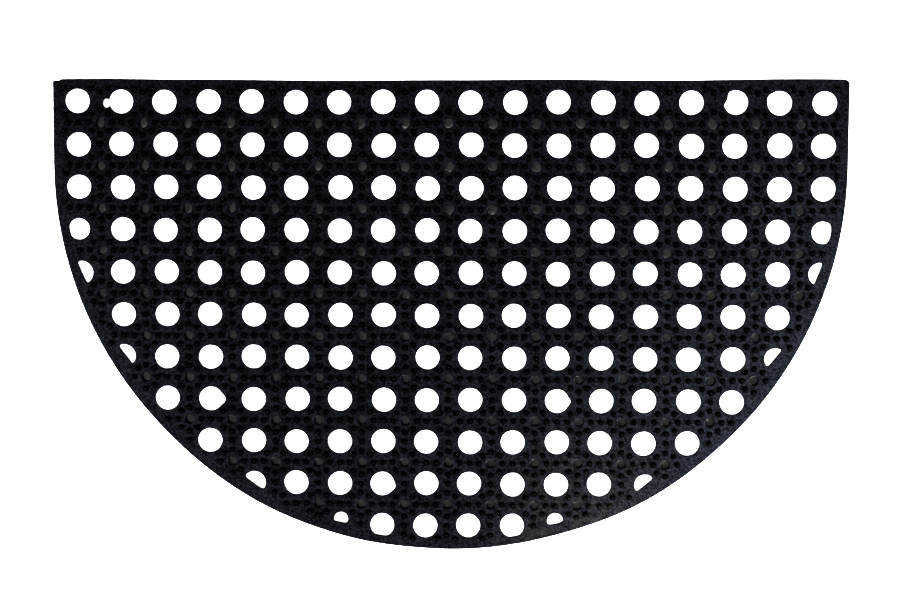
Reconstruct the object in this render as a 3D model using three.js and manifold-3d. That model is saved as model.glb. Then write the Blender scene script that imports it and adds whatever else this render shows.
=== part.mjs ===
// Half round doormat: one piece of black rubber, moulded flat.
//
// Seen from above it has a straight back edge, two short straight sides and a half round front. Round
// holes stand in rows and columns all over it, and a small drain hole lies between each four of them.
// The field of holes is covered with short rubber nubs, so it is as high here as their tips, and a lower
// flat rim runs all round it. The underside is flat and lies on the floor.
//
// Millimetres, +Z up, +Y towards the straight back edge. The origin is under the middle of the mat.

import * as THREE from 'three';
import { mergeVertices } from 'three/addons/utils/BufferGeometryUtils.js';
import Module from 'manifold-3d';

// The whole mat
const WIDTH = 750;
const DEPTH = 446;
const SIDE_LENGTH = 80;
const CORNER_RADIUS = 2.5;
const CORNER_STEPS = 2;
const FRONT_STEPS = 40;
const NUB_TIP_HEIGHT = 16;
const RIM_HEIGHT = 12.5;
const RIM_WIDTH = 5.5;

// The pattern of holes
const COLUMNS = 18;
const COLUMN_PITCH = 41.45;
const ROW_PITCH = 40.43;
const FIRST_ROW_FROM_BACK = 20.3;
const HOLE_DIAMETER = 23.6;
const HOLE_SIDES = 11;
const HOLE_TURN = 0.13;
const HOLE_RIM = 6.5;
const DRAIN_DIAMETER = 9;
const DRAIN_SIDES = 6;
const DRAIN_TURN = 0.37;
const DRAIN_RIM = 25;

// The rubber has shrunk unevenly, so the pattern wanders a little, in slow waves over rows and columns.
const DRIFT = 0.4;
const DRIFT_WAVES = { xByRow: 1.9, xByColumn: 2.7, yByRow: 2.3, yByColumn: -1.7 };

// The notch beside one hole, where the rubber is missing
const NOTCH_ROW = 0;
const NOTCH_COLUMN = 1;
const NOTCH_OFFSET_X = -12.6;
const NOTCH_OFFSET_Y = -2;
const NOTCH_DIAMETER = 8;
const NOTCH_SIDES = 10;

// One line for each row of holes, from the back: the first column that has a hole, the rim that is left
// where the curved edge cuts off the row's two end holes, and the first column with a drain in front.
const ROWS = [
  { firstHole: 0, cutRim: null, firstDrain: 0 },
  { firstHole: 0, cutRim: null, firstDrain: 0 },
  { firstHole: 0, cutRim: null, firstDrain: 0 },
  { firstHole: 0, cutRim: 8, firstDrain: 0 },
  { firstHole: 0, cutRim: 8.5, firstDrain: 0 },
  { firstHole: 1, cutRim: null, firstDrain: 1 },
  { firstHole: 1, cutRim: 12.5, firstDrain: 1 },
  { firstHole: 2, cutRim: null, firstDrain: 2 },
  { firstHole: 3, cutRim: null, firstDrain: 3 },
  { firstHole: 4, cutRim: 12.5, firstDrain: 5 },
  { firstHole: 6, cutRim: 10.5, firstDrain: null },
];

const BACK_Y = DEPTH / 2;
const SIDE_END_Y = BACK_Y - SIDE_LENGTH;
const FRONT_REACH = DEPTH - SIDE_LENGTH;
const FULL_TURN = 2 * Math.PI;
const HALVINGS = 24;
const MERGE_DISTANCE = 1e-4;
const CUTTER_MARGIN = 10;

// How far inside the curved front edge a point lies. It is negative outside.
function insideFront(point) {
  const across = point.x / (WIDTH / 2);
  const down = (point.y - SIDE_END_Y) / FRONT_REACH;
  const size = Math.hypot(across, down);
  const slope = Math.hypot(across / (WIDTH / 2), down / FRONT_REACH) / size;
  return (1 - size) / slope;
}

// How far inside the outline a point lies.
function insideOutline(point) {
  const straight = Math.min(BACK_Y - point.y, WIDTH / 2 - Math.abs(point.x));
  return point.y > SIDE_END_Y ? straight : Math.min(straight, insideFront(point));
}

// The outline's points, anticlockwise from the right side, drawn in from the edge by an inset.
function outlinePoints(inset) {
  const halfWidth = WIDTH / 2 - inset;
  const backY = BACK_Y - inset;
  const points = [];
  for (const [side, start] of [[1, 0], [-1, Math.PI / 2]]) {
    for (let step = 0; step <= CORNER_STEPS; step += 1) {
      const angle = start + (Math.PI / 2) * (step / CORNER_STEPS);
      points.push(new THREE.Vector2(
        side * (halfWidth - CORNER_RADIUS) + CORNER_RADIUS * Math.cos(angle),
        backY - CORNER_RADIUS + CORNER_RADIUS * Math.sin(angle),
      ));
    }
  }
  for (let step = 0; step <= FRONT_STEPS; step += 1) {
    const angle = Math.PI + Math.PI * (step / FRONT_STEPS);
    points.push(new THREE.Vector2(
      halfWidth * Math.cos(angle),
      SIDE_END_Y + (FRONT_REACH - inset) * Math.sin(angle),
    ));
  }
  return points;
}

// Where the pattern's given column and row cross, with its drift. A drain's are in halves.
function latticePoint(column, row) {
  const { xByRow, xByColumn, yByRow, yByColumn } = DRIFT_WAVES;
  return new THREE.Vector2(
    (column - (COLUMNS - 1) / 2) * COLUMN_PITCH + DRIFT * Math.sin(xByRow * row + xByColumn * column),
    BACK_Y - FIRST_ROW_FROM_BACK - row * ROW_PITCH + DRIFT * Math.cos(yByRow * row + yByColumn * column),
  );
}

function pointOnCircle(centre, diameter, angle) {
  return new THREE.Vector2(
    centre.x + (diameter / 2) * Math.cos(angle),
    centre.y + (diameter / 2) * Math.sin(angle),
  );
}

function ringPoints(centre, diameter, sides, turn) {
  const points = [];
  for (let side = 0; side < sides; side += 1) {
    points.push(pointOnCircle(centre, diameter, turn + FULL_TURN * (side / sides)));
  }
  return points;
}

// The angle between two others at which a hole's circle crosses the inner edge of the rim.
function crossingAngle(centre, from, to, rim) {
  let low = from;
  let high = to;
  const lowIsInside = insideFront(pointOnCircle(centre, HOLE_DIAMETER, from)) > rim;
  for (let halving = 0; halving < HALVINGS; halving += 1) {
    const middle = (low + high) / 2;
    const isInside = insideFront(pointOnCircle(centre, HOLE_DIAMETER, middle)) > rim;
    if (isInside === lowIsInside) {
      low = middle;
    } else {
      high = middle;
    }
  }
  return (low + high) / 2;
}

// A hole that the curved edge cuts off ends in a straight side along the rim.
function holePoints(centre, rim) {
  const points = [];
  for (let side = 0; side < HOLE_SIDES; side += 1) {
    const from = HOLE_TURN + FULL_TURN * (side / HOLE_SIDES);
    const to = HOLE_TURN + FULL_TURN * ((side + 1) / HOLE_SIDES);
    const startIsOpen = insideFront(pointOnCircle(centre, HOLE_DIAMETER, from)) > rim;
    const endIsOpen = insideFront(pointOnCircle(centre, HOLE_DIAMETER, to)) > rim;
    if (startIsOpen) {
      points.push(pointOnCircle(centre, HOLE_DIAMETER, from));
    }
    if (startIsOpen !== endIsOpen) {
      points.push(pointOnCircle(centre, HOLE_DIAMETER, crossingAngle(centre, from, to, rim)));
    }
  }
  return points;
}

function holePaths() {
  const paths = [];
  ROWS.forEach(({ firstHole, cutRim }, row) => {
    const lastHole = COLUMNS - 1 - firstHole;
    for (let column = firstHole; column <= lastHole; column += 1) {
      const isEnd = column === firstHole || column === lastHole;
      const rim = isEnd && cutRim !== null ? cutRim : HOLE_RIM;
      paths.push(new THREE.Path(holePoints(latticePoint(column, row), rim)));
    }
  });
  return paths;
}

// A drain lies in the middle of four holes. The few that are closest to the edge are left shut.
function drainPaths() {
  const paths = [];
  ROWS.forEach(({ firstDrain }, row) => {
    if (firstDrain === null) {
      return;
    }
    for (let column = firstDrain; column <= COLUMNS - 2 - firstDrain; column += 1) {
      const centre = latticePoint(column + 0.5, row + 0.5);
      if (insideOutline(centre) > DRAIN_RIM) {
        paths.push(new THREE.Path(ringPoints(centre, DRAIN_DIAMETER, DRAIN_SIDES, DRAIN_TURN)));
      }
    }
  });
  return paths;
}

// The field, as high as the nub tips, with all its holes.
function fieldGeometry() {
  const shape = new THREE.Shape(outlinePoints(0));
  shape.holes.push(...holePaths(), ...drainPaths());
  return new THREE.ExtrudeGeometry(shape, { depth: NUB_TIP_HEIGHT, bevelEnabled: false });
}

// What is taken away above the rim: a frame that is open over the field.
function aboveRimGeometry() {
  const reach = new THREE.Vector2(WIDTH / 2 + CUTTER_MARGIN, DEPTH / 2 + CUTTER_MARGIN);
  const shape = new THREE.Shape([
    new THREE.Vector2(-reach.x, -reach.y),
    new THREE.Vector2(reach.x, -reach.y),
    new THREE.Vector2(reach.x, reach.y),
    new THREE.Vector2(-reach.x, reach.y),
  ]);
  shape.holes.push(new THREE.Path(outlinePoints(RIM_WIDTH)));
  const geometry = new THREE.ExtrudeGeometry(shape, { depth: CUTTER_MARGIN, bevelEnabled: false });
  geometry.translate(0, 0, RIM_HEIGHT);
  return geometry;
}

// A round peg that cuts the notch.
function notchGeometry() {
  const geometry = new THREE.CylinderGeometry(
    NOTCH_DIAMETER / 2,
    NOTCH_DIAMETER / 2,
    2 * (NUB_TIP_HEIGHT + CUTTER_MARGIN),
    NOTCH_SIDES,
  );
  const hole = latticePoint(NOTCH_COLUMN, NOTCH_ROW);
  geometry.rotateX(Math.PI / 2);
  geometry.translate(hole.x + NOTCH_OFFSET_X, hole.y + NOTCH_OFFSET_Y, 0);
  return geometry;
}

function toSolid(wasm, geometry) {
  geometry.deleteAttribute('normal');
  geometry.deleteAttribute('uv');
  const merged = mergeVertices(geometry, MERGE_DISTANCE);
  return new wasm.Manifold(new wasm.Mesh({
    numProp: 3,
    vertProperties: new Float32Array(merged.attributes.position.array),
    triVerts: new Uint32Array(merged.index.array),
  }));
}

function toGeometry(solid) {
  const mesh = solid.getMesh();
  const geometry = new THREE.BufferGeometry();
  geometry.setAttribute('position', new THREE.BufferAttribute(new Float32Array(mesh.vertProperties), 3));
  geometry.setIndex(new THREE.BufferAttribute(new Uint32Array(mesh.triVerts), 1));
  geometry.computeVertexNormals();
  return geometry;
}

const wasm = await Module();
wasm.setup();

const rubber = new THREE.MeshStandardMaterial({ color: 0x14171d, roughness: 0.6, metalness: 0 });

const solid = toSolid(wasm, fieldGeometry())
  .subtract(toSolid(wasm, aboveRimGeometry()))
  .subtract(toSolid(wasm, notchGeometry()));
const mat = new THREE.Mesh(toGeometry(solid), rubber);
mat.name = 'mat';

const doormat = new THREE.Group();
doormat.add(mat);

export default doormat;
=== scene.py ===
# %% [markdown]
# # A half round rubber doormat
#
# The real mat is one piece of black rubber. It was pressed in a heated mould: a flat plate with a straight
# back edge and a half round front, with large round holes that let dirt fall through, small drain holes
# between them, and short nubs that scrape shoes.
#
# The lesson builds it as a maker would think of it. First the blank plate is cut and thickened. Then a plug
# is turned for each kind of hole, the plugs are stood in rows, and they are cut out of the plate. Then one
# nub is turned and stamped all over the top. At the end come the rubber and the lights.
#
# The imported model is loaded first. It is the frame that everything has to fit, so the main sizes are read
# from it and not typed in again.

# %% Load the frame
import math

import bpy
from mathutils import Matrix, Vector


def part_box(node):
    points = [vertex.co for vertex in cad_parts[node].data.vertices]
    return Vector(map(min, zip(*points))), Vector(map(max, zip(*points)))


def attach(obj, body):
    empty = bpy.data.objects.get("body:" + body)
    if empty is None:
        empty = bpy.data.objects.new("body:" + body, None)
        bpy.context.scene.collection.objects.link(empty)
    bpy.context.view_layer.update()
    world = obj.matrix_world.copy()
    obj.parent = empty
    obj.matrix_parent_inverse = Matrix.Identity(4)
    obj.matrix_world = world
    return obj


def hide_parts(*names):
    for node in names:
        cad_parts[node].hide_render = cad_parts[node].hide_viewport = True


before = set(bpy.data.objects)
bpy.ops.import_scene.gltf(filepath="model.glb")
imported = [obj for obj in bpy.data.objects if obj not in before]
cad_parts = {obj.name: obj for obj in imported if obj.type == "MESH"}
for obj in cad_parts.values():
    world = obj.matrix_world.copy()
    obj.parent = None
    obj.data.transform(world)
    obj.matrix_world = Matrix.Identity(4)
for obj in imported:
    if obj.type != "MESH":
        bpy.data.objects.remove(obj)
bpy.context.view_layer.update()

mat_low, mat_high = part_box("mat")
MM = 0.001
HALF_WIDTH = mat_high.x
BACK_Y = mat_high.y
DEPTH = mat_high.y - mat_low.y
NUB_TIP_HEIGHT = mat_high.z
print(f"the mat is {2 * HALF_WIDTH / MM:.0f} by {DEPTH / MM:.0f} mm, {NUB_TIP_HEIGHT / MM:.1f} mm high")

# %% [markdown]
# ## The camera
#
# The photograph was taken from almost straight above, with a long lens. A camera with no turn at all looks
# straight down with +Y at the top of the picture, so three small turns are all that it needs. It stands a
# little nearer to the straight edge, which makes the far rows slightly smaller. Its place, turn and lens were
# fitted by a program to the centres of the holes in the photograph.

# %% Make the camera
CAMERA_PLACE = Vector((0.0574, 0.1737, 1.8846))
CAMERA_TURN = tuple(math.radians(angle) for angle in (-4.819, 1.735, 0.170))
CAMERA_LENS_MM = 79.1

bpy.ops.object.camera_add(location=CAMERA_PLACE, rotation=CAMERA_TURN)
camera = bpy.context.object
camera.name = "camera"
camera.data.lens = CAMERA_LENS_MM
bpy.context.scene.camera = camera
print(f"the camera is {CAMERA_PLACE.z:.2f} m above the floor")

# %% [markdown]
# ## The pattern
#
# Everything on this mat sits on one lattice. The large holes are at its crossings, and a drain hole is in
# the middle of each four. Pressed rubber shrinks unevenly as it cools, so the lattice wanders by about half
# a millimetre. Each row has also slid along itself, the last one by more than a millimetre. The slides are
# the mean for each row of what a program measured on the photograph. One function holds all of this, so that
# the holes and the nubs drift together.
#
# The half round front is half of an ellipse that is nearly a circle. Near it the rubber is kept whole as a
# rim, and the holes that come too close end in a straight side. No two of those are quite alike, so each
# has its own line in a short table.

# %% The lattice and the outline
SIDE_LENGTH = 80 * MM
COLUMNS = 18
COLUMN_PITCH = 41.45 * MM
ROW_PITCH = 40.43 * MM
FIRST_ROW_FROM_BACK = 20.3 * MM
DRIFT = 0.4 * MM
# How fast the drift's waves turn, by row and by column.
X_WAVES = (1.9, 2.7)
Y_WAVES = (2.3, -1.7)
# How far each row of holes, from the back, has slid along itself.
ROW_SLIDES = [slide * MM for slide in (-0.4, -0.2, 0.3, -0.1, 0, 0.2, 0.2, 0.2, -0.3, -0.6, -1.2)]
SIDE_END_Y = BACK_Y - SIDE_LENGTH
FRONT_REACH = DEPTH - SIDE_LENGTH

# For each row from the back, the first column that has a hole, and the first that has a drain in front.
FIRST_HOLES = (0, 0, 0, 0, 0, 1, 1, 2, 3, 4, 6)
FIRST_DRAINS = (0, 0, 0, 0, 0, 1, 1, 2, 3, 5)


def row_slide(row):
    """The slide of a row, or the mean of its neighbours' for a row in halves."""
    last = len(ROW_SLIDES) - 1
    before = ROW_SLIDES[min(max(math.floor(row), 0), last)]
    after = ROW_SLIDES[min(max(math.ceil(row), 0), last)]
    return (before + after) / 2


def lattice_point(column, row):
    """Where a column and a row cross, with the drift. Halves are the middles between holes."""
    x = (column - (COLUMNS - 1) / 2) * COLUMN_PITCH
    y = BACK_Y - FIRST_ROW_FROM_BACK - row * ROW_PITCH
    x_drift = DRIFT * math.sin(X_WAVES[0] * row + X_WAVES[1] * column)
    y_drift = DRIFT * math.cos(Y_WAVES[0] * row + Y_WAVES[1] * column)
    return Vector((x + x_drift + row_slide(row), y + y_drift, 0))


def front_slope(point):
    """The direction straight out of the half round front at a point."""
    return Vector((point.x / HALF_WIDTH**2, (point.y - SIDE_END_Y) / FRONT_REACH**2, 0))


def inside_front(point):
    """How far inside the half round front a point lies, in metres."""
    size = math.hypot(point.x / HALF_WIDTH, (point.y - SIDE_END_Y) / FRONT_REACH)
    return (1 - size) * size / front_slope(point).length


def inside_outline(point):
    """How far inside the whole outline a point lies, in metres."""
    straight = min(BACK_Y - point.y, HALF_WIDTH - abs(point.x))
    return straight if point.y > SIDE_END_Y else min(straight, inside_front(point))


hole_places = [
    (row, column) for row, first in enumerate(FIRST_HOLES) for column in range(first, COLUMNS - first)
]
drain_places = [
    (row, column) for row, first in enumerate(FIRST_DRAINS) for column in range(first, COLUMNS - 1 - first)
]
print(f"{len(hole_places)} large holes and {len(drain_places)} drain holes")

# %% [markdown]
# ## The blank plate
#
# A plate like this could be a filled curve. A mesh circle is used here, because its edge can be pulled and
# rounded later. It is squashed to the depth of the front, cut in half with Bisect, and its straight cut
# edge is pulled back to make the two short sides.
#
# Operators act on whatever is selected, so each step starts by saying what that is. These helpers pick
# vertices and edges by their place.

# %% Helpers for selecting by place
TINY = 1e-5


def start_editing(piece):
    """Makes a piece the only one selected and opens it in edit mode."""
    bpy.ops.object.select_all(action="DESELECT")
    piece.select_set(True)
    bpy.context.view_layer.objects.active = piece
    bpy.ops.object.mode_set(mode="EDIT")


def select_points(piece, is_wanted):
    """Selects the vertices that pass a test. The piece is in edit mode."""
    bpy.ops.mesh.select_mode(type="VERT")
    bpy.ops.mesh.select_all(action="DESELECT")
    bpy.ops.object.mode_set(mode="OBJECT")
    for point in piece.data.vertices:
        point.select = is_wanted(point.co)
    bpy.ops.object.mode_set(mode="EDIT")


def select_edges(piece, is_wanted):
    """Selects the edges whose two end points pass a test. The piece is in edit mode."""
    bpy.ops.mesh.select_mode(type="EDGE")
    bpy.ops.mesh.select_all(action="DESELECT")
    bpy.ops.object.mode_set(mode="OBJECT")
    points = piece.data.vertices
    for edge in piece.data.edges:
        edge.select = is_wanted(points[edge.vertices[0]].co, points[edge.vertices[1]].co)
    bpy.ops.object.mode_set(mode="EDIT")


def along(axis, value):
    """A test for edges that lie at one value of an axis."""
    return lambda a, b: abs(a[axis] - value) < TINY and abs(b[axis] - value) < TINY


def apply_modifier(piece, modifier):
    bpy.ops.object.select_all(action="DESELECT")
    piece.select_set(True)
    bpy.context.view_layer.objects.active = piece
    bpy.ops.object.modifier_apply(modifier=modifier.name)


print(f"a place is met within {TINY / MM} mm")

# %% Cut the flat blank
X, Y, Z = range(3)
PLATE_HEIGHT = 12.5 * MM
OUTLINE_POINTS = 240
BACK_EDGE_CUTS = 79
SIDE_CUTS = 7
# The blank is cut a little outside the line, as the real one is.
SPARE = 1.25 * MM
BLANK_HALF_WIDTH = HALF_WIDTH + SPARE
BLANK_REACH = FRONT_REACH + SPARE
BLANK_BACK_Y = BACK_Y + SPARE / 2

bpy.ops.object.select_all(action="DESELECT")
bpy.ops.mesh.primitive_circle_add(vertices=OUTLINE_POINTS, radius=BLANK_HALF_WIDTH, fill_type="NGON")
plate = bpy.context.object
plate.name = "doormat_plate"
start_editing(plate)
bpy.ops.mesh.select_all(action="SELECT")
bpy.ops.transform.resize(value=(1, BLANK_REACH / BLANK_HALF_WIDTH, 1), center_override=(0, 0, 0))
bpy.ops.transform.translate(value=(0, SIDE_END_Y, 0))
bpy.ops.mesh.bisect(plane_co=(0, SIDE_END_Y, 0), plane_no=(0, 1, 0), clear_outer=True)
select_edges(plate, along(Y, SIDE_END_Y))
bpy.ops.mesh.extrude_region_move(TRANSFORM_OT_translate={"value": (0, BLANK_BACK_Y - SIDE_END_Y, 0)})
select_edges(plate, along(Y, SIDE_END_Y))
bpy.ops.mesh.dissolve_edges(use_verts=False)
select_edges(plate, along(Y, BLANK_BACK_Y))
bpy.ops.mesh.subdivide(number_cuts=BACK_EDGE_CUTS)
for side in (-1, 1):
    select_edges(plate, along(X, side * BLANK_HALF_WIDTH))
    bpy.ops.mesh.subdivide(number_cuts=SIDE_CUTS)
bpy.ops.object.mode_set(mode="OBJECT")
print(f"the flat blank is {len(plate.data.polygons)} face with {len(plate.data.vertices)} points")

# %% [markdown]
# The edge of the real mat isn't ruled. It swings in and out by a millimetre or two in long waves, and its two
# back corners are unlike each other. Proportional editing does that as clay would: one point of the edge is
# pulled, and its neighbours follow, less and less the further off they are. The pulls were corrected until
# the outline met the one measured on the photograph.

# %% Pull the edge out of true
# Where the edge is pulled, how far it moves, and how far along it the pull is felt, all in mm.
EDGE_PULLS = [
    ((375, 130), (-1.1, 0), 250),
    ((190, -169), (0.7, -1.2), 100),
    ((20, -223), (0, -0.6), 100),
    ((-80, -214), (-0.2, -0.8), 60),
    ((-165, -180), (-0.9, -1.8), 150),
    ((-330, 223), (0, 0.6), 70),
    ((-110, 223), (0, -0.8), 120),
    ((90, 223), (0, 0.8), 80),
    ((340, 223), (0, 1.7), 140),
]
CORNER_LENGTH = 6.5 * MM
CORNER_CUTS = 5
LEFT_CORNER_DROP = 1.4 * MM
RIGHT_CORNER_DROP = 3.0 * MM


def pull_edge(piece, place, move, reach):
    """Pulls the flat blank's edge at its point nearest to a place."""
    place = Vector((*place, 0)) * MM
    nearest = min((point.co.copy() for point in piece.data.vertices), key=lambda co: (co - place).length)
    select_points(piece, lambda co: (co - nearest).length < TINY)
    bpy.ops.transform.translate(
        value=(move[0] * MM, move[1] * MM, 0),
        use_proportional_edit=True,
        proportional_edit_falloff="SMOOTH",
        proportional_size=reach * MM,
    )
    piece.update_from_editmode()


start_editing(plate)
# A few more points next to the corners. Then the left one drops as a step, and the right one in a curve.
for side in (-1, 1):
    select_edges(
        plate,
        lambda a, b: min(a.y, b.y) > BLANK_BACK_Y - TINY
        and max(side * a.x, side * b.x) > BLANK_HALF_WIDTH - TINY,
    )
    bpy.ops.mesh.subdivide(number_cuts=CORNER_CUTS)
select_points(plate, lambda co: co.x < -BLANK_HALF_WIDTH + CORNER_LENGTH and co.y > BLANK_BACK_Y - TINY)
bpy.ops.transform.translate(value=(0, -LEFT_CORNER_DROP, 0))
for cut in range(CORNER_CUTS):
    start = BLANK_HALF_WIDTH - CORNER_LENGTH * cut / CORNER_CUTS
    select_points(plate, lambda co: co.x > start - TINY and co.y > BLANK_BACK_Y - RIGHT_CORNER_DROP - TINY)
    share = (2 * (CORNER_CUTS - cut) - 1) / CORNER_CUTS**2
    bpy.ops.transform.translate(value=(0, -RIGHT_CORNER_DROP * share, 0))
plate.update_from_editmode()
for place, move, reach in EDGE_PULLS:
    pull_edge(plate, place, move, reach)
bpy.ops.object.mode_set(mode="OBJECT")
back_reach = max(point.co.y for point in plate.data.vertices)
print(f"{len(EDGE_PULLS)} pulls; the back edge now reaches {back_reach / MM:.1f} mm")

# %% [markdown]
# Then the flat blank is extruded to the plate's thickness. Nothing that comes out of a mould has a knife
# edge, so Bevel rounds the back corners in plan, and then the whole upper and lower edge.

# %% Thicken the plate and round its edges
CORNER_RADIUS = 1.2 * MM
TOP_EDGE_RADIUS = 0.9 * MM
BOTTOM_EDGE_RADIUS = 0.6 * MM
CORNER_STEPS = 3
TOP_EDGE_STEPS = 3
BOTTOM_EDGE_STEPS = 2


def round_edges(piece, is_wanted, radius, steps):
    select_edges(piece, is_wanted)
    bpy.ops.mesh.bevel(offset=radius, segments=steps, profile=0.5, affect="EDGES")
    piece.update_from_editmode()


start_editing(plate)
bpy.ops.mesh.select_mode(type="FACE")
bpy.ops.mesh.select_all(action="SELECT")
bpy.ops.mesh.extrude_region_move(TRANSFORM_OT_translate={"value": (0, 0, PLATE_HEIGHT)})
bpy.ops.mesh.select_all(action="SELECT")
bpy.ops.mesh.normals_make_consistent(inside=False)
plate.update_from_editmode()
for side in (-1, 1):
    corner = max((point.co.copy() for point in plate.data.vertices), key=lambda co: side * co.x + co.y)
    round_edges(
        plate,
        lambda a, b: (a.xy - corner.xy).length < TINY and (b.xy - corner.xy).length < TINY,
        CORNER_RADIUS,
        CORNER_STEPS,
    )
round_edges(plate, along(Z, PLATE_HEIGHT), TOP_EDGE_RADIUS, TOP_EDGE_STEPS)
round_edges(plate, along(Z, 0), BOTTOM_EDGE_RADIUS, BOTTOM_EDGE_STEPS)
bpy.ops.object.mode_set(mode="OBJECT")
print(f"the plate has {len(plate.data.vertices)} vertices and {len(plate.data.polygons)} faces")

# %% [markdown]
# ## Turned shapes
#
# The plugs that cut the holes and the nub that stands between them are all round about an upright axis. A
# lathe would make them from a profile, and here a circle is extruded and resized once for each line of the
# profile, from the bottom up. That keeps every ring under control.
#
# The plug for a large hole is wider at the foot. That is the draft that lets the rubber leave its mould,
# and it is why no wall shows in the photograph, even in the holes at the far ends. At the top the plug
# flares out in a quarter round, so the hole gets its soft lip from the same cut.
#
# Near the front edge a hole is cut off by a straight side. Its plug is turned from a circle that is first
# trimmed with Bisect, and whose corners are then softened with Smooth Vertices.

# %% Turn a shape from its profile
TRIM_POINT_SPACING = 2 * MM
TRIM_SMOOTHING = 3


def trim_circle(piece, radius, distance, angle):
    """Trims a flat circle with a straight side, and centres what is left. The side faces along the angle."""
    outward = Vector((math.cos(angle), math.sin(angle), 0))
    bpy.ops.mesh.select_all(action="SELECT")
    bpy.ops.mesh.bisect(plane_co=outward * distance, plane_no=outward, clear_outer=True)
    select_edges(piece, lambda a, b: min(a.dot(outward), b.dot(outward)) > distance - TINY)
    length = 2 * math.sqrt(radius**2 - distance**2)
    bpy.ops.mesh.subdivide(number_cuts=round(length / TRIM_POINT_SPACING))
    bpy.ops.mesh.select_all(action="SELECT")
    bpy.ops.mesh.vertices_smooth(factor=0.5, repeat=TRIM_SMOOTHING)
    bpy.ops.transform.translate(value=outward * (radius - distance) / 2)


def turned(name, sides, profile, trim=None):
    """A closed solid about the Z axis. The profile is a list of (height, radius), from the bottom up."""
    neck = min(radius for _, radius in profile)
    height, radius = profile[0]
    bpy.ops.object.select_all(action="DESELECT")
    bpy.ops.mesh.primitive_circle_add(vertices=sides, radius=neck, fill_type="NGON")
    piece = bpy.context.object
    piece.name = name
    start_editing(piece)
    if trim:
        trim_circle(piece, neck, *trim)
    bpy.ops.mesh.select_all(action="SELECT")
    bpy.ops.transform.resize(value=(radius / neck, radius / neck, 1), center_override=(0, 0, 0))
    bpy.ops.transform.translate(value=(0, 0, height))
    for next_height, next_radius in profile[1:]:
        bpy.ops.mesh.extrude_region_move(TRANSFORM_OT_translate={"value": (0, 0, next_height - height)})
        scale = next_radius / radius
        bpy.ops.transform.resize(value=(scale, scale, 1), center_override=(0, 0, next_height))
        height, radius = next_height, next_radius
    bpy.ops.mesh.select_all(action="SELECT")
    bpy.ops.mesh.normals_make_consistent(inside=False)
    bpy.ops.object.mode_set(mode="OBJECT")
    return piece


print(f"a trimmed side gets a point about every {TRIM_POINT_SPACING / MM:.0f} mm")

# %% Turn the plugs for the holes and the drains
# A hole's radius is that of its narrowest part, just under the lip. The draft is how much wider its foot is.
HOLE_RADIUS = 11.28 * MM
WIDE_HOLE_RADIUS = 11.38 * MM
HOLE_LIP = 1.0 * MM
HOLE_DRAFT = 2.6 * MM
CUT_HOLE_DRAFT = 5 * MM
DRAIN_RADIUS = 4.5 * MM
DRAIN_LIP = 0.8 * MM
DRAIN_DRAFT = 0.3 * MM
FOOT_LIP = 0.5 * MM
LIP_STEPS = 3
CLEAR = 2 * MM
HOLE_SIDES = 36
DRAIN_SIDES = 20


def plug_profile(radius, lip, draft):
    """A plug from below the plate to above it, with a drafted wall and a rounded lip at the top."""
    foot = radius + draft
    profile = [(-CLEAR, foot + FOOT_LIP), (0, foot + FOOT_LIP), (FOOT_LIP, foot)]
    for step in range(LIP_STEPS):
        angle = math.radians(90 * step / LIP_STEPS)
        profile.append((PLATE_HEIGHT - lip * (1 - math.sin(angle)), radius + lip * (1 - math.cos(angle))))
    profile += [(PLATE_HEIGHT, radius + lip), (PLATE_HEIGHT + CLEAR, radius + lip)]
    return profile


hole_plug = turned("hole_plug", HOLE_SIDES, plug_profile(HOLE_RADIUS, HOLE_LIP, HOLE_DRAFT))
wide_hole_plug = turned("wide_hole_plug", HOLE_SIDES, plug_profile(WIDE_HOLE_RADIUS, HOLE_LIP, HOLE_DRAFT))
drain_plug = turned("drain_plug", DRAIN_SIDES, plug_profile(DRAIN_RADIUS, DRAIN_LIP, DRAIN_DRAFT))
print(f"a hole's plug has {len(hole_plug.data.polygons)} faces, a drain's {len(drain_plug.data.polygons)}")

# %% [markdown]
# ## Stamping copies
#
# There are about three hundred plugs and fifteen hundred nubs. Copying them one by one would be slow, and an
# Array can't follow the drift of the lattice. Geometry Nodes can: a mesh of loose points is made at the
# places, the shape is put on each point with a small random size and turn, and the copies are made real.
# The seed is fixed, so the result is the same each time.

# %% Stamp a shape on a list of places
def stamping_nodes(pattern, least_size, most_size, most_turn, seed):
    """A node group that puts the pattern on each point, between two sizes and up to a turn either way."""
    tree = bpy.data.node_groups.new("stamp_" + pattern.name, "GeometryNodeTree")
    tree.interface.new_socket("Geometry", in_out="INPUT", socket_type="NodeSocketGeometry")
    tree.interface.new_socket("Geometry", in_out="OUTPUT", socket_type="NodeSocketGeometry")
    start = tree.nodes.new("NodeGroupInput")
    shape = tree.nodes.new("GeometryNodeObjectInfo")
    shape.inputs["Object"].default_value = pattern
    size = tree.nodes.new("FunctionNodeRandomValue")
    size.data_type = "FLOAT_VECTOR"
    size.inputs[0].default_value = least_size
    size.inputs[1].default_value = most_size
    size.inputs["Seed"].default_value = seed
    turn = tree.nodes.new("FunctionNodeRandomValue")
    turn.data_type = "FLOAT_VECTOR"
    turn.inputs[0].default_value = [-angle for angle in most_turn]
    turn.inputs[1].default_value = most_turn
    turn.inputs["Seed"].default_value = seed + 1
    stamp = tree.nodes.new("GeometryNodeInstanceOnPoints")
    real = tree.nodes.new("GeometryNodeRealizeInstances")
    end = tree.nodes.new("NodeGroupOutput")
    tree.links.new(start.outputs["Geometry"], stamp.inputs["Points"])
    tree.links.new(shape.outputs["Geometry"], stamp.inputs["Instance"])
    tree.links.new(size.outputs[0], stamp.inputs["Scale"])
    tree.links.new(turn.outputs[0], stamp.inputs["Rotation"])
    tree.links.new(stamp.outputs["Instances"], real.inputs["Geometry"])
    tree.links.new(real.outputs["Geometry"], end.inputs["Geometry"])
    return tree


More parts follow.
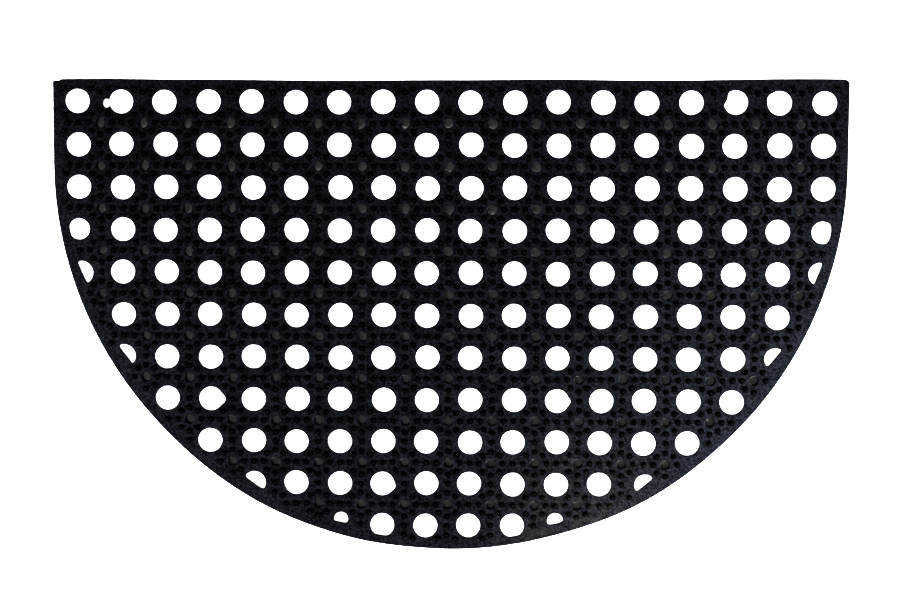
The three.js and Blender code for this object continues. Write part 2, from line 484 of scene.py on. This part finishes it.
def stamped(name, pattern, places, least_size, most_size, most_turn, seed):
    """One mesh with a copy of the pattern at each place."""
    points = bpy.data.meshes.new(name)
    points.from_pydata(places, [], [])
    piece = bpy.data.objects.new(name, points)
    bpy.context.scene.collection.objects.link(piece)
    modifier = piece.modifiers.new("stamp", "NODES")
    modifier.node_group = stamping_nodes(pattern, least_size, most_size, most_turn, seed)
    apply_modifier(piece, modifier)
    print(f"{name}: {len(places)} copies, {len(piece.data.polygons)} faces")
    return piece


# %% [markdown]
# ## The plugs in their places
#
# A hole that the rim cuts off could be a whole one with a piece filled in again. Here it gets a plug of its
# own, because no two of them are alike in size, in the rim that they leave, or in how the straight side is
# turned. They widen more towards the foot than whole holes do, so no wall shows in them either. Their sizes
# were given one by one, and corrected by areas and centres measured on the photograph.

# %% Make the plugs of the holes that are cut off
# For each, its row, its side, its diameter and its rim in mm, the turn of its straight side in degrees, and
# how far its centre is off the lattice, to the right and to the back, in mm.
CUT_HOLES = [
    (3, -1, 20.4, 8.1, 0, (0.0, 0.0)),
    (3, 1, 21.4, 8.5, 0, (0.0, 0.0)),
    (4, -1, 23.0, 9.3, 7, (0.9, -0.6)),
    (4, 1, 22.5, 10.9, -4, (-1.6, 0.4)),
    (6, -1, 22.4, 13.8, 6, (-0.5, 0.0)),
    (6, 1, 21.7, 14.1, -8, (-0.5, 0.4)),
    (9, -1, 22.3, 11.1, -5, (0.6, -0.3)),
    (9, 1, 21.0, 11.3, 9, (1.7, 0.0)),
    (10, -1, 13.7, 9.6, 5, (2.1, 5.3)),
    (10, 1, 16.0, 9.1, 3, (0.5, 5.2)),
]
# Two more in the last row lose only a thin slice.
THIN_RIM_COLUMNS = (7, 10)
THIN_RIM = 6.3
THIN_RIM_DIAMETER = 23
ON_LATTICE = (0, 0)


def moved(piece, place):
    """Moves a shape to a place, with the move kept in its mesh."""
    start_editing(piece)
    bpy.ops.mesh.select_all(action="SELECT")
    bpy.ops.transform.translate(value=place)
    bpy.ops.object.mode_set(mode="OBJECT")
    return piece


def cut_hole_column(row, side):
    """The column of a row's end hole, on the left for -1 or on the right for 1."""
    return FIRST_HOLES[row] if side < 0 else COLUMNS - 1 - FIRST_HOLES[row]


def cut_hole_centre(row, column, shift):
    return lattice_point(column, row) + Vector((*shift, 0)) * MM


def cut_off_plug(row, column, diameter, rim, turn, shift):
    """The plug of a hole whose side towards the front edge is cut off, so that it leaves the rim whole."""
    centre = cut_hole_centre(row, column, shift)
    outward = front_slope(centre)
    angle = math.atan2(outward.y, outward.x) + math.radians(turn)
    distance = inside_front(centre) - rim * MM
    radius = diameter / 2 * MM
    profile = plug_profile(radius, HOLE_LIP, CUT_HOLE_DRAFT)
    piece = turned(f"plug_{row}_{column}", HOLE_SIDES, profile, (distance, angle))
    middle = Vector((math.cos(angle), math.sin(angle), 0)) * (distance - radius) / 2
    return moved(piece, centre + middle)


# Each hole that gets a plug of its own, by its row and column.
special_plugs = {}
for row, side, diameter, rim, turn, shift in CUT_HOLES:
    column = cut_hole_column(row, side)
    special_plugs[row, column] = cut_off_plug(row, column, diameter, rim, turn, shift)
last_row = len(FIRST_HOLES) - 1
for column in THIN_RIM_COLUMNS:
    special_plugs[last_row, column] = cut_off_plug(
        last_row, column, THIN_RIM_DIAMETER, THIN_RIM, 0, ON_LATTICE
    )
print(f"{len(special_plugs)} holes are cut off by the rim")

# %% [markdown]
# Five whole holes have a flaw from the mould: one has a flap of rubber left in it, and four have a corner.
# They are turned as the others are, and then the points of one part of the circle are pushed in or out.

# %% Make the plugs of the uneven holes
# For each, its row and column, the angles in degrees between which it is changed, and how far a flap
# reaches into it there, in mm. Where that is negative the hole has a corner instead.
UNEVEN_HOLES = [
    (0, 15, 126, 194, 3.0),
    (0, 16, 128, 170, -1.0),
    (7, 3, -32, 24, -2.4),
    (7, 11, -26, 18, -1.5),
    (9, 7, -38, 8, -1.5),
]
FIRST_WIDE_COLUMN = 12


def uneven_plug(row, column, start, end, depth):
    """The plug of a whole hole with a flap or a corner."""
    radius = WIDE_HOLE_RADIUS if column >= FIRST_WIDE_COLUMN else HOLE_RADIUS
    piece = turned(f"plug_{row}_{column}", HOLE_SIDES, plug_profile(radius, HOLE_LIP, HOLE_DRAFT))
    for point in piece.data.vertices:
        angle = math.degrees(math.atan2(point.co.y, point.co.x))
        share = (angle - start) % 360 / (end - start)
        if share < 1:
            point.co.xy *= 1 - math.sin(math.pi * share) * depth * MM / point.co.xy.length
    return moved(piece, lattice_point(column, row))


for row, column, start, end, depth in UNEVEN_HOLES:
    special_plugs[row, column] = uneven_plug(row, column, start, end, depth)
print(f"{len(UNEVEN_HOLES)} holes are uneven")

# %% [markdown]
# All other holes are alike, so their plugs are stamped. Those on the right of the real mat came out a
# little wider, and the drains are a size of their own, so there are three stamps.

# %% Stamp the plugs of the whole holes and the drains
LEAST_PLUG_SIZE = (0.99, 0.99, 1)
MOST_PLUG_SIZE = (1.01, 1.01, 1)
# In radians about each axis, either way.
MOST_PLUG_TURN = (0, 0, 3)
HOLE_SEED = 4
WIDE_HOLE_SEED = 5
DRAIN_SEED = 9


def whole_holes(is_wide):
    """The places of the whole holes, either the wide ones on the right or the others."""
    return [
        lattice_point(column, row)
        for row, column in hole_places
        if (row, column) not in special_plugs and (column >= FIRST_WIDE_COLUMN) == is_wide
    ]


def stamped_plugs(name, plug, places, seed):
    return stamped(name, plug, places, LEAST_PLUG_SIZE, MOST_PLUG_SIZE, MOST_PLUG_TURN, seed)


drains = [lattice_point(column + 0.5, row + 0.5) for row, column in drain_places]
hole_plugs = stamped_plugs("hole_plugs", hole_plug, whole_holes(False), HOLE_SEED)
wide_hole_plugs = stamped_plugs("wide_hole_plugs", wide_hole_plug, whole_holes(True), WIDE_HOLE_SEED)
drain_plugs = stamped_plugs("drain_plugs", drain_plug, drains, DRAIN_SEED)

# %% [markdown]
# One hole of the back row has a notch beside it, where the rubber didn't fill the mould. Its plug is a small
# oval one that runs into the hole.

# %% Make the plug for the notch
NOTCH_HOLE = (0, 1)
NOTCH_RADIUS = 4 * MM
NOTCH_SHAPE = (0.85, 1.05, 1)
NOTCH_OFFSET = Vector((-13.9, -1.6, 0)) * MM

notch_plug = turned("notch_plug", DRAIN_SIDES, plug_profile(NOTCH_RADIUS, DRAIN_LIP, HOLE_DRAFT))
start_editing(notch_plug)
bpy.ops.mesh.select_all(action="SELECT")
bpy.ops.transform.resize(value=NOTCH_SHAPE, center_override=(0, 0, 0))
bpy.ops.object.mode_set(mode="OBJECT")
notch_row, notch_column = NOTCH_HOLE
moved(notch_plug, lattice_point(notch_column, notch_row) + NOTCH_OFFSET)
print(f"the notch's plug has {len(notch_plug.data.polygons)} faces")

# %% [markdown]
# ## Cutting the holes
#
# All plugs are joined to one cutter, and one Boolean takes it out of the plate. The Manifold solver is
# made for closed shapes like these and needs a second or so. The notch overlaps its neighbour, so it is
# cut in a step of its own. Where a cut meets an edge of the plate it leaves points on top of each other, and
# these are merged, so that no face is left without an area.

# %% Cut the plugs out of the plate
MERGE_DISTANCE = TINY / 5


def cut_away(piece, cutter):
    modifier = piece.modifiers.new("cut", "BOOLEAN")
    modifier.operation = "DIFFERENCE"
    modifier.solver = "MANIFOLD"
    modifier.object = cutter
    apply_modifier(piece, modifier)
    bpy.data.objects.remove(cutter)


bpy.ops.object.select_all(action="DESELECT")
for piece in [hole_plugs, wide_hole_plugs, drain_plugs, *special_plugs.values()]:
    piece.select_set(True)
bpy.context.view_layer.objects.active = hole_plugs
bpy.ops.object.join()
cut_away(plate, hole_plugs)
cut_away(plate, notch_plug)
for pattern in (hole_plug, wide_hole_plug, drain_plug):
    bpy.data.objects.remove(pattern)
start_editing(plate)
bpy.ops.mesh.select_all(action="SELECT")
bpy.ops.mesh.remove_doubles(threshold=MERGE_DISTANCE)
bpy.ops.mesh.dissolve_degenerate(threshold=MERGE_DISTANCE)
bpy.ops.object.mode_set(mode="OBJECT")
print(f"the cut plate has {len(plate.data.vertices)} vertices and {len(plate.data.polygons)} faces")

# %% [markdown]
# ## The nubs
#
# A nub is a short blunt cone with a worn tip. It is turned from a profile as the plugs were. It has few
# sides, because so many nubs are needed, and its foot sinks a little into the plate, so that no gap shows.
#
# Eight of them stand in a ring about each drain, four straight and four slanting, and one stands in the
# middle of each bridge between two holes. The rim is left smooth, and so are the bridges of the first row.

# %% Turn one nub
NUB_SIDES = 10
# The height above the plate and the radius, in mm.
NUB_PROFILE = [(-0.6, 3.0), (0.02, 2.95), (1.6, 2.2), (2.9, 1.25), (3.35, 0.65), (3.5, 0.2)]

nub = turned("nub", NUB_SIDES, [(height * MM, radius * MM) for height, radius in NUB_PROFILE])
print(f"a nub has {len(nub.data.polygons)} faces")

# %% Find where the nubs stand
NUB_RING_STRAIGHT = 11.25 * MM
NUB_RING_SLANTING = 8 * MM * math.sqrt(2)
NUB_FROM_EDGE = 7 * MM
NUB_FROM_HOLE = 3.4 * MM
# The first row's bridges are bare in a band that lies a little behind the row's middle.
BARE_BAND_SHIFT = 2 * MM
BARE_BAND_REACH = 4 * MM


def nearest_hole_edge(point):
    """How far a point is from the edge of the nearest large hole's full circle."""
    return min((point - lattice_point(column, row)).length for row, column in hole_places) - HOLE_RADIUS


def nub_ring():
    """The eight places about a drain, as steps from its middle."""
    ring = []
    for step in range(4):
        angle = math.radians(90 * step)
        slant = math.radians(90 * step + 45)
        ring.append(Vector((math.cos(angle), math.sin(angle), 0)) * NUB_RING_STRAIGHT)
        ring.append(Vector((math.cos(slant), math.sin(slant), 0)) * NUB_RING_SLANTING)
    return ring


def is_on_bare_band(place):
    off_band = abs(place.y - lattice_point(0, 0).y - BARE_BAND_SHIFT)
    return off_band < BARE_BAND_REACH and abs(place.x) < HALF_WIDTH - COLUMN_PITCH / 2


def has_room(place):
    return inside_outline(place) > NUB_FROM_EDGE and nearest_hole_edge(place) > NUB_FROM_HOLE


nub_places = []
ring = nub_ring()
for row in range(-1, len(FIRST_HOLES)):
    for column in range(-1, COLUMNS):
        middle = lattice_point(column + 0.5, row + 0.5)
        nub_places += [middle + offset for offset in ring]
        if row >= 0:
            nub_places.append(lattice_point(column + 0.5, row))
        nub_places.append(lattice_point(column, row + 0.5))
nub_places = [place for place in nub_places if has_room(place) and not is_on_bare_band(place)]
print(f"{len(nub_places)} nubs have room")

# %% Stamp the nubs over the top
LEAST_NUB_SIZE = (0.94, 0.94, 0.93)
MOST_NUB_SIZE = (1.06, 1.06, 1)
MOST_NUB_TURN = (0.06, 0.06, 3)
NUB_SEED = 21

on_plate = [place + Vector((0, 0, PLATE_HEIGHT)) for place in nub_places]
nubs = stamped("doormat_nubs", nub, on_plate, LEAST_NUB_SIZE, MOST_NUB_SIZE, MOST_NUB_TURN, NUB_SEED)
bpy.data.objects.remove(nub)

# %% [markdown]
# Both pieces are shaded smooth where faces meet at a small angle. The plate's flat top is made of long thin
# faces, which would pull the shading of the rounded lips across it. Weighted normals let the large flat
# faces decide, so the top stays flat.

# %% Shade the plate and the nubs
# In degrees.
SHARPEST_SMOOTH_ANGLE = 40

for piece in (plate, nubs):
    bpy.ops.object.select_all(action="DESELECT")
    piece.select_set(True)
    bpy.context.view_layer.objects.active = piece
    bpy.ops.object.shade_smooth_by_angle(angle=math.radians(SHARPEST_SMOOTH_ANGLE))
weighted = plate.modifiers.new("weighted", "WEIGHTED_NORMAL")
weighted.keep_sharp = True
apply_modifier(plate, weighted)
print(f"edges under {SHARPEST_SMOOTH_ANGLE} degrees are smooth")

# %% [markdown]
# ## The rubber
#
# Black rubber is not one flat black. It is a very dark blue grey with a fine grain from the mould and a
# slightly mottled gloss, and nearly all that is seen of it is the light that it mirrors. The grain is bump
# and also varies the colour and the gloss, and a broader noise varies the roughness.
#
# Feet polish the tips of the nubs and leave their walls dull, so the nubs' gloss rises with the height. Near
# the front on the right the real mat has a brown film of dust. It fades out from one place, and a noise
# breaks it up. All of it is procedural and reads object coordinates, so it sits in the rubber.

# %% Make the nodes for the rubber's patterns
NOISE_MIDDLE = (0.35, 0.65)


def noise(tree, coordinates, scale, detail):
    node = tree.nodes.new("ShaderNodeTexNoise")
    node.inputs["Scale"].default_value = scale
    node.inputs["Detail"].default_value = detail
    tree.links.new(coordinates, node.inputs["Vector"])
    return node.outputs["Fac"]


def between(tree, value, low, high, from_range=NOISE_MIDDLE):
    """Stretches a range of a value to the range from low to high."""
    node = tree.nodes.new("ShaderNodeMapRange")
    node.inputs["From Min"].default_value = from_range[0]
    node.inputs["From Max"].default_value = from_range[1]
    node.inputs["To Min"].default_value = low
    node.inputs["To Max"].default_value = high
    tree.links.new(value, node.inputs["Value"])
    return node.outputs["Result"]


def mixed(tree, share, first, second):
    """Mixes two colours. The first may be a colour or the output of another node."""
    node = tree.nodes.new("ShaderNodeMix")
    node.data_type = "RGBA"
    tree.links.new(share, node.inputs["Factor"])
    if isinstance(first, tuple):
        node.inputs["A"].default_value = first
    else:
        tree.links.new(first, node.inputs["A"])
    node.inputs["B"].default_value = second
    return node.outputs["Result"]


# %% Make the film of dust
DUST = (0.03, 0.025, 0.019, 1)
DUST_PLACE = (0.13, -0.2, 0)
DUST_REACH = 0.11
DUST_SHARE = 0.9
DUST_SCALE = 130
DUST_DETAIL = 3


def dust_amount(tree, place):
    """How much dust lies at a place. It fades out with the distance, and a noise breaks it up."""
    distance = tree.nodes.new("ShaderNodeVectorMath")
    distance.operation = "DISTANCE"
    distance.inputs[1].default_value = DUST_PLACE
    tree.links.new(place, distance.inputs[0])
    amount = tree.nodes.new("ShaderNodeMath")
    amount.operation = "MULTIPLY"
    near = between(tree, distance.outputs["Value"], DUST_SHARE, 0, (0, DUST_REACH))
    broken = between(tree, noise(tree, place, DUST_SCALE, DUST_DETAIL), 0, 1)
    tree.links.new(near, amount.inputs[0])
    tree.links.new(broken, amount.inputs[1])
    return amount.outputs["Value"]


print(f"the dust reaches {DUST_REACH / MM:.0f} mm")

# %% Mix the rubber
RUBBER_DARK = (0.0015, 0.0016, 0.0023, 1)
RUBBER_LIGHT = (0.0035, 0.0038, 0.0052, 1)
ROUGHNESS = (0.48, 0.62)
BLUISH = (0.75, 0.81, 1, 1)
GRAIN_SCALE = 520
GRAIN_DETAIL = 3
GRAIN_STRENGTH = 0.5
GRAIN_DEPTH = 0.15 * MM
PATCH_SCALE = 45
PATCH_DETAIL = 2
PLATE_GLOSS = (0.15, 0.63)
NUB_GLOSS = (0.03, 0.36)
NUB_POLISH_DEPTH = 0.6 * MM


def moulded_rubber(name, gloss, polished_from=None):
    """The gloss follows the grain, or it rises from a height up to the nubs' tips."""
    material = bpy.data.materials.new(name)
    material.use_nodes = True
    tree = material.node_tree
    shader = tree.nodes["Principled BSDF"]
    place = tree.nodes.new("ShaderNodeTexCoord").outputs["Object"]
    grain = noise(tree, place, GRAIN_SCALE, GRAIN_DETAIL)
    patches = noise(tree, place, PATCH_SCALE, PATCH_DETAIL)

    clean = mixed(tree, between(tree, grain, 0, 1), RUBBER_DARK, RUBBER_LIGHT)
    dusty = mixed(tree, dust_amount(tree, place), clean, DUST)
    tree.links.new(dusty, shader.inputs["Base Color"])
    tree.links.new(between(tree, patches, *ROUGHNESS), shader.inputs["Roughness"])
    shader.inputs["Specular Tint"].default_value = BLUISH

    bump = tree.nodes.new("ShaderNodeBump")
    bump.inputs["Strength"].default_value = GRAIN_STRENGTH
    bump.inputs["Distance"].default_value = GRAIN_DEPTH
    tree.links.new(grain, bump.inputs["Height"])
    tree.links.new(bump.outputs["Normal"], shader.inputs["Normal"])

    if polished_from is None:
        shine = between(tree, grain, *gloss)
    else:
        axes = tree.nodes.new("ShaderNodeSeparateXYZ")
        tree.links.new(place, axes.inputs["Vector"])
        shine = between(tree, axes.outputs["Z"], *gloss, (polished_from, NUB_TIP_HEIGHT))
    tree.links.new(shine, shader.inputs["Specular IOR Level"])
    return material


plate_rubber = moulded_rubber("plate_rubber", PLATE_GLOSS)
nub_rubber = moulded_rubber("nub_rubber", NUB_GLOSS, NUB_TIP_HEIGHT - NUB_POLISH_DEPTH)
for piece, rubber in ((plate, plate_rubber), (nubs, nub_rubber)):
    piece.data.materials.clear()
    piece.data.materials.append(rubber)
    print(f"{piece.name} is made of {rubber.name}, with {len(rubber.node_tree.nodes)} nodes")

# %% [markdown]
# ## The floor and the lights
#
# The mat lies on a plain pale floor. The photograph has two main lights: every nub throws one shadow to the
# upper left and one to the upper right. Where those shadows run together gives the lights' directions, and
# how long they are gives the height. So the lights stand low, on the front left and the front right.
#
# A larger and weaker glow gives the sheen on the right, and a weak light from behind lifts the back rows.

# %% Lay the floor
FLOOR_SIZE = 8
FLOOR_COLOUR = (0.9, 0.89, 0.875, 1)
FLOOR_ROUGHNESS = 0.9

bpy.ops.object.select_all(action="DESELECT")
bpy.ops.mesh.primitive_plane_add(size=FLOOR_SIZE)
floor = bpy.context.object
floor.name = "floor"
paper = bpy.data.materials.new("pale_floor")
paper.use_nodes = True
paper_shader = paper.node_tree.nodes["Principled BSDF"]
paper_shader.inputs["Base Color"].default_value = FLOOR_COLOUR
paper_shader.inputs["Roughness"].default_value = FLOOR_ROUGHNESS
floor.data.materials.append(paper)
print(f"the floor is {FLOOR_SIZE} m wide")

# %% Light the mat
# Each light's name, place, size and power.
MAT_LIGHTS = [
    ("key_right", (1.1, -0.49, 0.74), 0.2, 22),
    ("key_left", (-1.1, -0.49, 0.74), 0.2, 15),
    ("glow_right", (0.52, -0.58, 0.85), 0.45, 6.6),
    ("fill_back", (-0.1, 0.9, 1.2), 0.8, 2.5),
]


def add_soft_light(name, place, size, power):
    """A square light that faces the middle of the mat."""
    bpy.ops.object.light_add(type="AREA", location=place)
    light = bpy.context.object
    light.name = name
    light.data.size = size
    light.data.energy = power
    light.rotation_euler = (-Vector(place)).to_track_quat("-Z", "Y").to_euler()
    return light


for name, place, size, power in MAT_LIGHTS:
    add_soft_light(name, place, size, power)
print(f"{len(MAT_LIGHTS)} lights for the mat")

# %% [markdown]
# Such low lights don't reach the floor through the holes, but the photograph shows pure white there. A
# studio lights the paper for itself then. Here a ring of soft lights does that, and its slant keeps it out of
# the narrow drains. One weak light from above leaves a little grey in those. The ten holes in the table of
# cut-off ones are too narrow for the ring, so each has a thin spot that stands between it and the camera.
#
# Light linking keeps all of these off the mat. A dim room and a contrasty look finish the picture.

# %% Light the floor
RING_RADIUS = 1.6
RING_HEIGHT = 1.8
RING_COUNT = 8
RING_SIZE = 0.5
RING_POWER = 48
PAPER_LIGHT_PLACE = (-0.3, -0.25, 2.4)
PAPER_LIGHT_SIZE = 0.3
PAPER_LIGHT_POWER = 1.9
SPOT_DISTANCE = 1.1
# In degrees.
SPOT_ANGLE = 1.25
SPOT_SIZE = 0.01
SPOT_POWER = 45

floor_lights = [add_soft_light("paper_light", PAPER_LIGHT_PLACE, PAPER_LIGHT_SIZE, PAPER_LIGHT_POWER)]
for number in range(RING_COUNT):
    angle = 2 * math.pi * number / RING_COUNT
    place = (RING_RADIUS * math.cos(angle), RING_RADIUS * math.sin(angle), RING_HEIGHT)
    floor_lights.append(add_soft_light(f"ring_light_{number}", place, RING_SIZE, RING_POWER))
for row, side, *_, shift in CUT_HOLES:
    target = cut_hole_centre(row, cut_hole_column(row, side), shift) + Vector((0, 0, PLATE_HEIGHT))
    towards_camera = (CAMERA_PLACE - target).normalized()
    bpy.ops.object.light_add(type="SPOT", location=target + towards_camera * SPOT_DISTANCE)
    spot = bpy.context.object
    spot.name = "hole_spot"
    spot.data.energy = SPOT_POWER
    spot.data.shadow_soft_size = SPOT_SIZE
    spot.data.spot_size = math.radians(SPOT_ANGLE)
    spot.rotation_euler = (-towards_camera).to_track_quat("-Z", "Y").to_euler()
    floor_lights.append(spot)
only_floor = bpy.data.collections.new("only_floor")
only_floor.objects.link(floor)
for light in floor_lights:
    light.light_linking.receiver_collection = only_floor
print(f"{len(floor_lights)} lights for the floor")

# %% Set the room and the look
ROOM_COLOUR = (1, 0.98, 0.96, 1)
ROOM_STRENGTH = 0.12

world = bpy.data.worlds.new("soft_room")
world.use_nodes = True
world.node_tree.nodes["Background"].inputs["Color"].default_value = ROOM_COLOUR
world.node_tree.nodes["Background"].inputs["Strength"].default_value = ROOM_STRENGTH
bpy.context.scene.world = world
bpy.context.scene.view_settings.view_transform = "Standard"
bpy.context.scene.view_settings.look = "Very High Contrast"
print(f"the room is lit at {ROOM_STRENGTH}")

# %% [markdown]
# ## The pieces on the frame
#
# The plate and the nubs take the imported solid's place, and both ride on its body.

# %% Tie the pieces to the frame
for piece in (plate, nubs):
    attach(piece, "root")
    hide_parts("mat")
